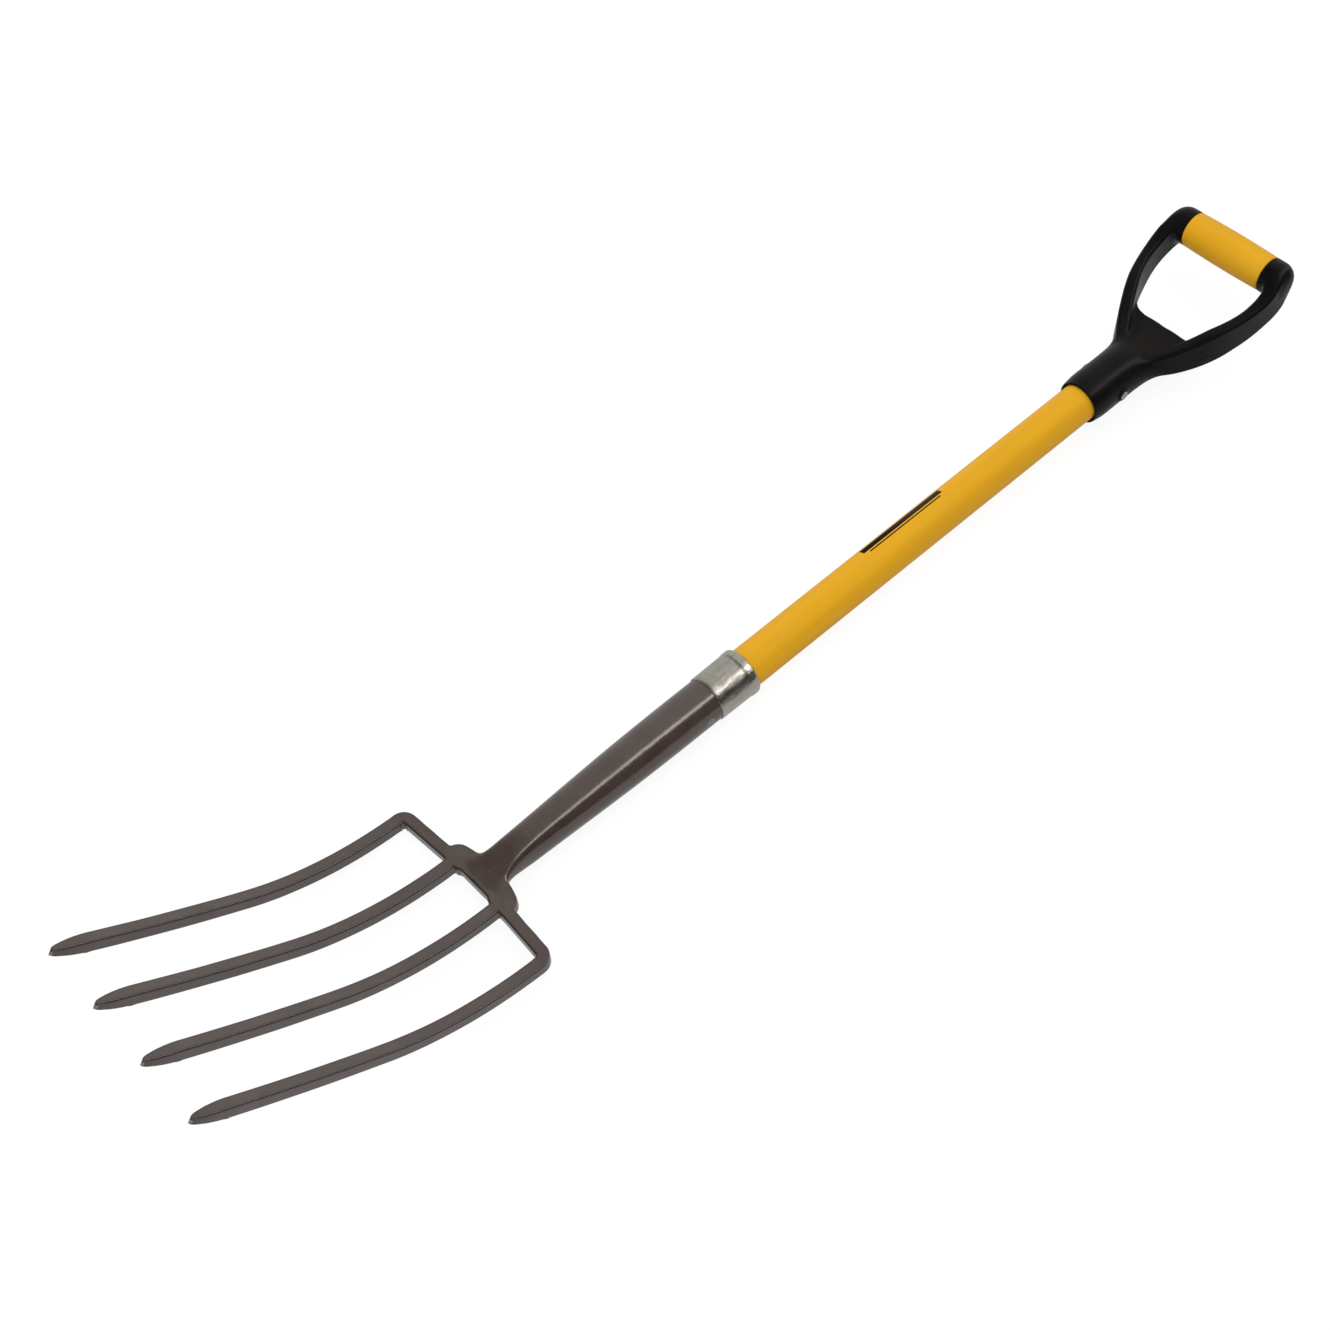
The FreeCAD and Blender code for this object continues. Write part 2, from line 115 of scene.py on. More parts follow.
YOKE_MOUTH_Y = 628.0
YOKE_BORE_END_Y = 694.0
MOUTH_R = 19.7
BOSS_Y, BOSS_R, BOSS_X = 661.0, 5.6, 22.3
SWEEP_START_Y = 690.0
GRIP_Y, GRIP_Z = 816.4, 41.0
GRIP_HALF_LENGTH = 40.5
GRIP_END_R, GRIP_MIDDLE_R, GRIP_BAR_R = 15.7, 16.4, 11.0
KNUCKLE_R, KNUCKLE_X = 15.8, 62.0
HANDLE_SWEEP_R = ((GRIP_Y - SWEEP_START_Y) ** 2 + GRIP_Z ** 2) / (2 * GRIP_Z)
GRIP_FLAT_Y = (SWEEP_START_Y
               + HANDLE_SWEEP_R * math.asin((GRIP_Y - SWEEP_START_Y) / HANDLE_SWEEP_R))
DOME_R = 13.5
ARM_CORNER_R, NECK_CORNER_R = 3.8, 3.6
MOUTH_CORNER_R, BOSS_CORNER_R = 1.2, 1.2
KNUCKLE_BLEND, BOSS_BLEND = 6.0, 2.2
GRIP_CLEARANCE = 0.8
LEAD_IN = 5.0                                # depth of the bore's flared mouth

# One arm of the flattened handle: x, y, height, half thickness, half depth and twist in degrees
ARM_KNOTS = [(9.0, 682, 2.0, 5.0, 9.0, 8.0), (17.5, 700, 3.2, 5.6, 10.6, 8.0),
             (27.6, 715, 4.0, 6.0, 12.6, 8.0), (36.6, 730, 5.2, 5.8, 14.4, 8.0),
             (45.9, 750, 6.3, 5.7, 15.8, 6.5), (49.6, 760, 6.0, 5.3, 16.0, 4.4),
             (52.6, 770, 5.0, 5.1, 15.7, 4.0), (54.9, 780, 3.8, 5.1, 15.2, 3.6),
             (56.3, 790, 2.4, 5.4, 14.8, 3.0), (56.9, 802, 0.4, 6.0, 14.8, 1.5),
             (56.0, 812, -0.6, 6.4, 15.0, 0.0), (52.6, 821.5, -0.6, 6.6, 14.0, 0.0),
             (48.0, 827, 0.0, 6.4, 11.5, 0.0)]
ARM_STEPS = 120

# Neck of the handle at places along the shaft: half width and half depth
NECK_WIDTH = [(628, MOUTH_R), (637, 20.9), (655, 21.1), (670, 21.2), (682, 21.7), (692, 23.0),
              (702, 25.4), (716, 29.5), (745, 39.0)]
NECK_DEPTH = [(628, MOUTH_R), (637, 20.9), (665, 21.0), (680, 20.2), (692, 18.3), (706, 14.0),
              (720, 9.6), (733, 6.6), (745, 5.4)]

# Print on the sleeve: start and end along the shaft, place round it in degrees, half width
PRINT_BARS = ((381, 470, 120.0, 3.4), (386, 466, 101.0, 0.7))
PRINT_FILM = 0.05

TINY = 1e-6
ON_SKIN = 0.05           # a mesh point this near to a skin takes the skin's own normal
FINE_STEP, SOFT_STEP, SOFTER_STEP = 0.05, 0.3, 0.6       # reach of a slope, more to soften creases


# ---------------------------------------------------------------- mesh helpers

def turn_to_row(directions):
    """Directions in the shaft frame to the row frame."""
    return np.asarray(directions) @ AXES


def to_row(points):
    """Places in the shaft frame, in millimetres, to the row frame in metres."""
    return turn_to_row(points) * MM + np.array(ORIGIN)


def make_piece(name, points, faces, material, replaced=(), normals=None, values=None):
    """Mesh object from points in the shaft frame, riding on the body and standing for CAD nodes."""
    mesh = bpy.data.meshes.new(name)
    mesh.from_pydata(to_row(points).tolist(), [], [list(map(int, face)) for face in faces])
    mesh.polygons.foreach_set("use_smooth", np.ones(len(mesh.polygons), bool))
    # The values hold the tips' wear, less a painted shade along the head's top edges
    if values is not None:
        layer = mesh.attributes.new("wear_and_edge_shade", "FLOAT", "POINT")
        layer.data.foreach_set("value", np.asarray(values, np.float32))
    mesh.materials.append(material)
    mesh.validate()
    if normals is not None:
        mesh.normals_split_custom_set_from_vertices(turn_to_row(normals).tolist())
    piece = bpy.data.objects.new(name, mesh)
    bpy.context.scene.collection.objects.link(piece)
    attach(piece, BODY)
    if replaced:
        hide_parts(*replaced)
    return piece


def levels(*stretches):
    """Grid levels over stretches of (start, end, spacing), each joined to the next."""
    values = []
    for start, end, spacing in stretches:
        count = max(1, round(abs(end - start) / spacing))
        values += list(np.linspace(start, end, count + 1)[:-1])
    values.append(stretches[-1][1])
    return np.array(sorted(values))


def gradient(field, points, step):
    """Slope of a field by central differences."""
    slopes = []
    for axis in range(3):
        shift = np.zeros(3)
        shift[axis] = step
        ahead, behind = points + shift, points - shift
        slopes.append((field(*ahead.T) - field(*behind.T)) / (2 * step))
    return np.stack(slopes, 1)


def net_cells(inside, value, axes):
    """One vertex in every cell that the surface crosses: the mean of its edges' crossing points."""
    cells = tuple(n - 1 for n in value.shape)
    total = np.zeros(cells + (3,))
    count = np.zeros(cells)
    for axis in range(3):
        low = [slice(None)] * 3
        high = [slice(None)] * 3
        low[axis], high[axis] = slice(None, -1), slice(1, None)
        a, b = value[tuple(low)], value[tuple(high)]
        crossed = inside[tuple(low)] != inside[tuple(high)]
        share = np.where(crossed, a / np.where(crossed, a - b, 1), 0)
        starts = [marks[:-1] if k == axis else marks for k, marks in enumerate(axes)]
        grid = np.meshgrid(*starts, indexing="ij", sparse=True)
        steps = np.diff(axes[axis]).reshape([-1 if k == axis else 1 for k in range(3)])
        others = [k for k in range(3) if k != axis]
        for first in (0, 1):
            for second in (0, 1):
                pick = [slice(None)] * 3
                pick[others[0]] = slice(first, cells[others[0]] + first)
                pick[others[1]] = slice(second, cells[others[1]] + second)
                hit = crossed[tuple(pick)]
                for k in range(3):
                    place = grid[k] + (steps * share if k == axis else 0)
                    place = np.broadcast_to(place, crossed.shape)
                    total[..., k] += np.where(hit, place[tuple(pick)], 0)
                count += hit
    return total, count


def net_faces(inside, index):
    """A quad round every grid edge that crosses the surface, facing outwards."""
    faces = []
    for axis in range(3):
        u, v = (axis + 1) % 3, (axis + 2) % 3
        low = [slice(1, -1)] * 3
        high = [slice(1, -1)] * 3
        low[axis], high[axis] = slice(None, -1), slice(1, None)
        a, b = inside[tuple(low)], inside[tuple(high)]
        place = np.argwhere(a != b)
        outward = a[tuple(place.T)]
        place[:, u] += 1
        place[:, v] += 1
        ring = []
        for du, dv in ((-1, -1), (0, -1), (0, 0), (-1, 0)):
            cell = place.copy()
            cell[:, u] += du
            cell[:, v] += dv
            ring.append(index[tuple(cell.T)])
        quads = np.stack(ring, 1)
        quads[~outward] = quads[~outward][:, ::-1]
        faces.append(quads)
    return np.concatenate(faces)


def surface_net(field, axes):
    """Closed quad mesh of the surface where a field is zero, drawn onto it in a few passes."""
    passes, reach, least = 4, 0.5, 0.05
    value = field(axes[0][:, None, None], axes[1][None, :, None], axes[2][None, None, :])
    inside = value < 0
    total, count = net_cells(inside, value, axes)
    used = count > 0
    index = np.full(used.shape, -1)
    index[used] = np.arange(used.sum())
    points = total[used] / count[used][:, None]
    faces = net_faces(inside, index)
    for _ in range(passes):
        slope = gradient(field, points, FINE_STEP)
        size = np.maximum((slope ** 2).sum(1), least)
        move = -slope * (field(*points.T) / size)[:, None]
        length = np.linalg.norm(move, axis=1, keepdims=True)
        points += move * np.minimum(1, reach / np.maximum(length, 1e-9))
    return points, faces


def skin_normals(points, skin, field, step):
    """Normals from a piece's soft outer skin, and from its whole field where it's cut or bored."""
    on_skin = np.abs(skin(*points.T)) < ON_SKIN
    return unit(np.where(on_skin[:, None], gradient(skin, points, step),
                         gradient(field, points, FINE_STEP)))


def unit(vectors):
    return vectors / np.maximum(np.linalg.norm(vectors, axis=1, keepdims=True), 1e-9)


def lathe(profile, around, count, centre=(0, 0, 0), ripple=None):
    """Closed ring or solid turned about X or Y, with a count of points to each circle.

    The profile's (radius, place) points run round it with places rising along the outside. One that
    starts and ends on the axis makes a solid.
    """
    points, faces, rings = [], [], []
    for radius, place in profile:
        first = len(points)
        total = 1 if radius < TINY else count
        for i in range(total):
            angle = 2 * math.pi * i / count
            r = radius + (ripple(angle, place) if ripple else 0)
            a, b = r * math.cos(angle), r * math.sin(angle)
            spot = (b, place, a) if around == "Y" else (place, a, b)
            points.append([centre[k] + spot[k] for k in range(3)])
        rings.append((first, total))
    pairs = list(zip(rings, rings[1:] + rings[:1]))
    if profile[0][0] < TINY:
        pairs = pairs[:-1]
    for (a, many_a), (b, many_b) in pairs:
        for i in range(count):
            j = (i + 1) % count
            if many_a == 1:
                faces.append((a, b + j, b + i))
            elif many_b == 1:
                faces.append((a + i, a + j, b))
            else:
                faces.append((a + i, a + j, b + j, b + i))
    return np.array(points), faces


# ---------------------------------------------------------------- fields

def smooth_min(a, b, k):
    """The smaller of two fields, with the crease between them filled over a width k."""
    h = np.clip(0.5 + 0.5 * (b - a) / k, 0, 1)
    return b + (a - b) * h - k * h * (1 - h)


def ease(value, start, end):
    """0 before start, 1 after end, smooth between."""
    t = np.clip((value - start) / (end - start), 0, 1)
    return t * t * (3 - 2 * t)


def rounded_section(side, depth, radius):
    """Signed distance to a bar from its signed distances sideways and in depth."""
    a, b = side + radius, depth + radius
    return np.minimum(np.maximum(a, b), 0) + np.hypot(np.maximum(a, 0), np.maximum(b, 0)) - radius


def smooth_table(at, knots):
    """Smooth curve through a few (place, value) knots."""
    xs = np.array([k[0] for k in knots], float)
    ys = np.array([k[1] for k in knots], float)
    slopes = np.gradient(ys, xs)
    at = np.clip(at, xs[0], xs[-1])
    i = np.clip(np.searchsorted(xs, at) - 1, 0, len(xs) - 2)
    width = xs[i + 1] - xs[i]
    t = (at - xs[i]) / width
    h00, h10 = 2 * t ** 3 - 3 * t ** 2 + 1, t ** 3 - 2 * t ** 2 + t
    h01, h11 = -2 * t ** 3 + 3 * t ** 2, t ** 3 - t ** 2
    return h00 * ys[i] + h10 * width * slopes[i] + h01 * ys[i + 1] + h11 * width * slopes[i + 1]


def segment(x, y, ax, ay, bx, by):
    """Distance in the plane from a straight line between two points."""
    length2 = (bx - ax) ** 2 + (by - ay) ** 2
    t = np.clip(((x - ax) * (bx - ax) + (y - ay) * (by - ay)) / length2, 0, 1)
    return np.hypot(x - ax - t * (bx - ax), y - ay - t * (by - ay))


def hammered(x, y, z, scale):
    """Slow waves that stand for the forged and welded unevenness of the steel."""
    a = np.sin(x / scale + 1.3) * np.sin(y / scale * 0.83 + 0.4) * np.cos(z / scale * 0.9)
    b = np.sin(x / scale * 1.9 + 2.1 + y / scale) * np.sin(z / scale * 1.7 + 0.8)
    return 0.6 * a + 0.4 * b


# ---------------------------------------------------------------- fork head and socket

def point_share(y):
    """How far a place is along a tine's point: 0 at the tip, 1 where the full bar starts."""
    return np.clip((y - TINE_TIP) / POINT_LENGTH, 0, 1)


def front_height(y):
    """Height of a tine's front over its middle plane."""
    return HALF_THICK - FRONT_BEVEL * (1 - point_share(y)) ** 1.6


def tine_plan(x, y, root_x, tip_x, start_y):
    """Plan distance to one straight tine, with an ogive point."""
    run = np.clip((ROOT_Y - y) / (ROOT_Y - TINE_TIP), 0, 1)
    off = np.abs(x - (root_x + (tip_x - root_x) * run))
    left = y - TINE_TIP
    half = TINE_HALF * np.sqrt(1 - (1 - point_share(y)) ** POINT_POWER)
    body = np.where(left > 0, off - half, np.hypot(off, left))
    return np.maximum(body, y - start_y)


def head_plan(x, y):
    """Plan of the unbent head: the signed distance to its outline."""
    x = np.abs(x)
    bend_x = ROOT_OUTER_X - TINE_HALF - CORNER_INNER_R
    bend_y = BAR_OUTER_Y - TINE_HALF - CORNER_INNER_R
    middle_r = CORNER_INNER_R + TINE_HALF
    bar = segment(x, y, LOBE_X - 4, BAR_INNER_Y, bend_x, BAR_OUTER_Y) - TINE_HALF
    turn = np.abs(np.hypot(x - bend_x, y - bend_y) - middle_r) - TINE_HALF
    turn = np.maximum(turn, np.maximum(bend_x - x, bend_y - y) - CORNER_OVERLAP)
    outer = tine_plan(x, y, ROOT_OUTER_X, TIP_OUTER_X, bend_y + CORNER_OVERLAP)
    shoulder = np.minimum(np.minimum(bar, turn), outer)
    inner = tine_plan(x, y, ROOT_INNER_X, TIP_INNER_X, LOBE_Y)
    lobe = np.hypot(x - LOBE_X, y - LOBE_Y) - LOBE_R
    lobe = np.maximum(lobe, BAR_INNER_Y - TINE_HALF - y)
    corner = smooth_min(LOBE_X - x, PLATE_REAR_Y - y, PLATE_CORNER)
    plate = np.maximum(-corner, BAR_FRONT_Y - y)
    middle = smooth_min(lobe, plate, LOBE_BLEND)
    return smooth_min(smooth_min(shoulder, middle, SHOULDER_BLEND), inner, TINE_BLEND)


def head_field(x, y, n):
    """The unbent head: n is the height over its middle plane."""
    left = np.clip(y - TINE_TIP, 0, None)
    front = front_height(y)
    back = HALF_THICK - BACK_BEVEL * (1 - point_share(y)) ** 3
    back = back + HEEL_RISE * np.exp(-((left - POINT_LENGTH + HEEL_BEFORE) / HEEL_LENGTH) ** 2)
    middle, half = (front - back) / 2, (front + back) / 2
    radius = np.minimum(EDGE_R, 0.25 + 0.16 * left)
    body = rounded_section(head_plan(x, y), np.abs(n - middle) - half, radius)
    return body - 0.05 * hammered(x, y, n, 9.0)


def socket_field(x, y, z):
    """Outside of the tapered socket and of its foot, which splays flat onto the crossbar."""
    width, power = smooth_table(y, SOCKET_WIDTH), smooth_table(y, SOCKET_POWER)
    top, low = smooth_table(y, SOCKET_TOP), smooth_table(y, SOCKET_LOW)
    z = z - (top - low) / 2
    depth = (top + low) / 2
    reach = np.hypot(x, z) + TINY
    size = (np.abs(x / width) ** power + np.abs(z / depth) ** power) ** (1 / power)
    return reach - reach / np.maximum(size, TINY)


def steel_field(x, y, z):
    """Head and socket flowing into each other, in the shaft frame behind the tines' roots."""
    plate = head_field(x, y, z - HEAD_Z)
    foot = np.maximum(socket_field(x, y, z), FOOT_END_Y - y)
    weld = ease(y, 40, 5) * ease(y, -34, -24)
    return smooth_min(plate, foot, FOOT_BLEND) - 0.22 * weld * hammered(x, y, z, 5.2)


def bend_tines(points):
    """Bends the flat head into its curve. Returns the places and the slope at each."""
    lengths = np.cumsum([0, EASE_LENGTH, BEND_LENGTH, SWEEP_LENGTH])
    table = np.linspace(0, lengths[-1] + 10, 2000)
    slope = np.radians(np.interp(table, lengths, [0, ROOT_ANGLE, BEND_ANGLE, TIP_ANGLE]))
    step = table[1]
    forward = np.concatenate([[0], np.cumsum((np.cos(slope[1:]) + np.cos(slope[:-1])) / 2 * step)])
    upward = np.concatenate([[0], np.cumsum((np.sin(slope[1:]) + np.sin(slope[:-1])) / 2 * step)])
    start = ROOT_Y + EASE_LENGTH / 2
    run = start - points[:, 1]
    bent = run > 0
    angle = np.where(bent, np.interp(run, table, slope), 0)
    y = np.where(bent, start - np.interp(run, table, forward), points[:, 1])
    z = HEAD_Z + np.where(bent, np.interp(run, table, upward), 0)
    n = points[:, 2]
    return np.stack([points[:, 0], y + n * np.sin(angle), z + n * np.cos(angle)], 1), angle


def tilt_normals(normals, angle):
    """Turns normals of the flat shape by the slope that each point was bent to."""
    y = normals[:, 1] * np.cos(angle) + normals[:, 2] * np.sin(angle)
    z = -normals[:, 1] * np.sin(angle) + normals[:, 2] * np.cos(angle)
    return np.stack([normals[:, 0], y, z], 1)


def build_head(material):
    """The forged head up to the split, where the socket's mesh takes over."""
    def skin(x, y, n):
        return steel_field(x, y, n + HEAD_Z)

    def field(x, y, n):
        sunk = skin(x, y, n) + SPLIT_STEP * ease(y, SOCKET_SPLIT_Y - 2.0, SOCKET_SPLIT_Y)
        return np.maximum(sunk, y - SOCKET_SPLIT_Y - SPLIT_OVERLAP)

    outer = ROOT_OUTER_X + TINE_HALF + 2.0
    axes = (levels((-outer, outer, 0.7)),
            levels((TINE_TIP - 2.0, TINE_TIP + 36, 0.75), (TINE_TIP + 36, -48, 3.0),
                   (-48, -6.0, 0.7)),
            levels((-6.2, 10.5, 0.62)))
    points, faces = surface_net(field, axes)
    normals = unit(gradient(skin, points, SOFT_STEP))
    x, y, n = points.T
    # Painted shade: a band along the edges between the top face and the sides, taken off the tips'
    # wear value so that the coat is darkened there
    beside = np.abs(head_plan(x, y) + 0.5)
    below = np.abs(n - front_height(y) + 0.5)
    painted_edge_shade = np.clip(EDGE_SHADE_WIDTH - beside, 0, 1) * np.clip(EDGE_SHADE_WIDTH - below, 0, 1)
    wear_and_edge_shade = np.clip(1 - (y - TINE_TIP) / WORN_LENGTH, 0, 1) - painted_edge_shade
    places, angle = bend_tines(points)
    return make_piece("forged_head", places, faces, material, ("fork_head",),
                      tilt_normals(normals, angle), wear_and_edge_shade)


def build_socket(material):
    """The socket from the split to its mouth, bored for the shaft."""
    def bore(x, y, z):
        radius = np.interp(y, [SOCKET_BORE_Y, CORE_START_Y], [SOCKET_BORE_R, CORE_R])
        return np.maximum(np.hypot(x, z) - radius, SOCKET_BORE_Y - y)

    def field(x, y, z):
        shell = np.maximum(steel_field(x, y, z), -bore(x, y, z))
        return np.maximum(np.maximum(shell, SOCKET_SPLIT_Y - y), y - SOCKET_MOUTH_Y)

    axes = (levels((-41.0, 41.0, 0.85)),
            levels((SOCKET_SPLIT_Y - 1.2, 44.0, 0.75), (44.0, SOCKET_MOUTH_Y - 2, 3.0),
                   (SOCKET_MOUTH_Y - 2, SOCKET_MOUTH_Y + 1.0, 0.75)),
            levels((-20.0, 20.0, 0.85)))
    points, faces = surface_net(field, axes)
    normals = skin_normals(points, steel_field, field, SOFT_STEP)
    return make_piece("steel_socket", points, faces, material, ("socket",), normals,
                      np.zeros(len(points)))


# ---------------------------------------------------------------- handle

def arm_line():
    """Smooth middle line of one arm, in rows like those of its knots."""
    run = [0.0]
    for a, b in zip(ARM_KNOTS, ARM_KNOTS[1:]):
        run.append(run[-1] + math.dist(a[:2], b[:2]))
    at = np.linspace(0, run[-1], ARM_STEPS)
    return np.stack([smooth_table(at, list(zip(run, column))) for column in zip(*ARM_KNOTS)], 1)


ARM = arm_line()


def arm_field(x, y, n):
    """Distance to the arm on the side of +X: a rounded ribbon whose front edge leans inwards."""
    best = np.full(np.broadcast(x, y).shape, 1e9)
    side = np.zeros(best.shape)
    section = [np.zeros(best.shape) for _ in range(4)]
    for a, b in zip(ARM, ARM[1:]):
        length = math.dist(a[:2], b[:2])
        u, v = (b[0] - a[0]) / length, (b[1] - a[1]) / length
        t = np.clip(((x - a[0]) * u + (y - a[1]) * v) / length, 0, 1)
        away_x, away_y = x - a[0] - t * (b[0] - a[0]), y - a[1] - t * (b[1] - a[1])
        off = np.hypot(away_x, away_y)
        nearer = off < best
        best = np.where(nearer, off, best)
        side = np.where(nearer, np.where(away_x * v - away_y * u < 0, -off, off), side)
        for k in range(4):
            section[k] = np.where(nearer, a[k + 2] + t * (b[k + 2] - a[k + 2]), section[k])
    height, thick, deep, twist = section
    cos, sin = np.cos(np.radians(twist)), np.sin(np.radians(twist))
    across = side * cos + (n - height) * sin
    through = (n - height) * cos - side * sin
    return rounded_section(np.abs(across) - thick, np.abs(through) - deep, ARM_CORNER_R)


def neck_field(x, y, n):
    """Round collar that flattens and dips into the web between the arms."""
    width, depth = smooth_table(y, NECK_WIDTH), smooth_table(y, NECK_DEPTH)
    reach = np.hypot(x, n) + TINY
    size = np.hypot(x / width, n / depth)
    body = reach - reach / np.maximum(size, TINY)
    end = y - 738.2 + 0.0012 * x * x
    return rounded_section(body, end, NECK_CORNER_R)


def knuckle_field(x, y, n):
    """Round end of the grip, domed outside."""
    radius = np.hypot(y - GRIP_FLAT_Y, n)
    outside = rounded_section(radius - KNUCKLE_R, x - KNUCKLE_X, DOME_R)
    return np.maximum(outside, GRIP_HALF_LENGTH - x)


def yoke_skin(x, y, n):
    """Outer form of the one-piece handle, before its bore."""
    across = np.abs(x)
    blend = 4.0 + 12.0 * ease(y, 712, 738) * ease(y, 775, 750)
    form = smooth_min(neck_field(across, y, n), arm_field(across, y, n), blend)
    form = smooth_min(form, knuckle_field(across, y, n), KNUCKLE_BLEND)
    flare = np.hypot(x, n) - MOUTH_R - 0.15 * (y - YOKE_MOUTH_Y)
    mouth = rounded_section(flare, YOKE_MOUTH_Y - y, MOUTH_CORNER_R)
    form = np.where(y < YOKE_MOUTH_Y + 12, np.maximum(form, mouth), form)
    boss = rounded_section(np.hypot(y - BOSS_Y, n) - BOSS_R, across - BOSS_X, BOSS_CORNER_R)
    form = smooth_min(form, boss, BOSS_BLEND)
    from_grip = np.hypot(y - GRIP_FLAT_Y, n)
    clear = np.maximum(across - GRIP_HALF_LENGTH, from_grip - KNUCKLE_R - GRIP_CLEARANCE)
    form = np.maximum(form, -clear)
    bar = np.maximum(from_grip - GRIP_BAR_R, across - GRIP_HALF_LENGTH - 4.0)
    return np.minimum(form, bar)


def build_yoke(material):
    """The handle moulding, worked out flat and then swept forward to the grip."""
    def bore(x, y, n):
        radius = SHAFT_R + 0.25 * np.clip(YOKE_MOUTH_Y + LEAD_IN - y, 0, LEAD_IN)
        return np.maximum(np.hypot(x, n) - radius, y - YOKE_BORE_END_Y)

    def field(x, y, n):
        return np.maximum(yoke_skin(x, y, n), -bore(x, y, n))

    spacing = 0.95
    axes = (levels((-66.0, 66.0, spacing)),
            levels((YOKE_MOUTH_Y - 1.0, GRIP_FLAT_Y + 18.5, spacing)),
            levels((-23.0, 23.0, spacing)))
    points, faces = surface_net(field, axes)
    normals = skin_normals(points, yoke_skin, field, SOFTER_STEP)
    angle = -np.clip(points[:, 1] - SWEEP_START_Y, 0, None) / HANDLE_SWEEP_R
    n = points[:, 2]
    y = np.where(angle < 0, SWEEP_START_Y - HANDLE_SWEEP_R * np.sin(angle), points[:, 1])
    z = HANDLE_SWEEP_R * (1 - np.cos(angle))
    places = np.stack([points[:, 0], y + n * np.sin(angle), z + n * np.cos(angle)], 1)
    return make_piece("d_handle", places, faces, material, ("handle_yoke",),
                      tilt_normals(normals, angle))


def build_grip(material):
    """Barrel-shaped sleeve round the bar between the knuckles."""
    gap, lip, steps = 0.15, 0.9, 24
    half = GRIP_HALF_LENGTH - gap
    outline = []
    for i in range(steps + 1):
        x = (half - lip) * (1 - 2 * i / steps)
        outline.append((GRIP_MIDDLE_R - (GRIP_MIDDLE_R - GRIP_END_R) * (x / half) ** 2, x))
    edge = [(GRIP_END_R - lip * (1 - math.cos(a)), half - lip * (1 - math.sin(a)))
            for a in np.radians((90, 60, 30))]
    ring = [(GRIP_BAR_R, half)] + edge + outline
    ring += [(r, -x) for r, x in reversed(edge)] + [(GRIP_BAR_R, -half)]
    points, faces = lathe(ring[::-1], "X", 112, (0, GRIP_Y, GRIP_Z))
    return make_piece("yellow_grip", points, faces, material, ("grip_sleeve",))


# ---------------------------------------------------------------- turned pieces

def build_jacket(material):
    """Yellow sleeve over the shaft's tube, from the socket's mouth to the shaft's end."""
    edge = 0.4
    outer = [(SHAFT_R, y) for y in np.linspace(SHAFT_END_Y - edge, SOCKET_MOUTH_Y + edge, 60)]
    ring = [(CORE_R, SHAFT_END_Y), (SHAFT_R - edge, SHAFT_END_Y)] + outer
    ring += [(SHAFT_R - edge, SOCKET_MOUTH_Y), (CORE_R, SOCKET_MOUTH_Y)]
    points, faces = lathe(ring[::-1], "Y", 144)
    return make_piece("yellow_sleeve", points, faces, material, ("shaft_jacket",))


def build_ferrule(material):
    """Slightly flared ring over the socket's mouth, with a step and a rolled lip."""
    y0, y1 = FERRULE_Y
    r0, r1 = FERRULE_R
    step_y, step_length, rise = y1 - 9.5, 3.5, 0.55
    lip, edge = 2.6, 0.35
    inner_r, shelf_y = SHAFT_R + 0.05, SOCKET_MOUTH_Y + 0.5
    ring = [(FERRULE_BORE_R, y0), (r0 - edge, y0), (r0, y0 + edge)]
    for i in range(1, 13):
        t = i / 12
        ring.append((r0 + (r1 - rise - r0) * t, y0 + edge + (step_y - y0 - edge) * t))
    for i in range(1, 9):
        t = i / 8
        ring.append((r1 - rise + rise * (3 * t * t - 2 * t ** 3), step_y + step_length * t))
    for i in range(7):
        a = math.pi / 2 * i / 6
        ring.append((r1 - lip * (1 - math.cos(a)), y1 - lip * (1 - math.sin(a))))
    ring += [(SHAFT_R + 0.15, y1 - edge), (inner_r, y1 - 1.0), (inner_r, shelf_y),
             (FERRULE_BORE_R, shelf_y)]

    def ripple(angle, place):
        """Slight unroundness, fading out at the ferrule's start."""
        share = 0.5 - 0.5 * math.cos(math.pi * min(max((place - y0) / 6, 0), 1))
        return share * (0.035 * math.sin(9 * angle + 0.4)
                        + 0.025 * math.sin(17 * angle + place / 9))

    points, faces = lathe(ring, "Y", 192, ripple=ripple)
    return make_piece("plated_ferrule", points, faces, material, ("ferrule",))


def rivet_ring(shank_r, head_r, seat_x, proud, dimple_r):
    """Half profile of a rivet about X: dimpled, domed head, rim, shank."""
    half = [(0.0, seat_x + proud * 0.62), (dimple_r * 0.7, seat_x + proud * 0.66),
            (dimple_r, seat_x + proud * 0.98)]
    for i in range(1, 7):
        a = i / 7 * math.pi / 2
        half.append((dimple_r + (head_r - dimple_r) * math.sin(a),
                     seat_x + proud * math.cos(a) ** 0.8))
    half += [(head_r, seat_x - 0.1), (head_r * 0.98, seat_x - 0.6), (shank_r, seat_x - 0.7)]
    return half + [(r, -x) for r, x in reversed(half)]


def build_rivet(name, cad_node, y, shank_r, head_r, seat_x, proud, dimple_r, material):
    """Rivet across the shaft at a place along it, headed at both ends."""
    ring = rivet_ring(shank_r, head_r, seat_x, proud, dimple_r)
    points, faces = lathe(ring[::-1], "X", 48, (0, y, 0))
    return make_piece(name, points, faces, material, (cad_node,))


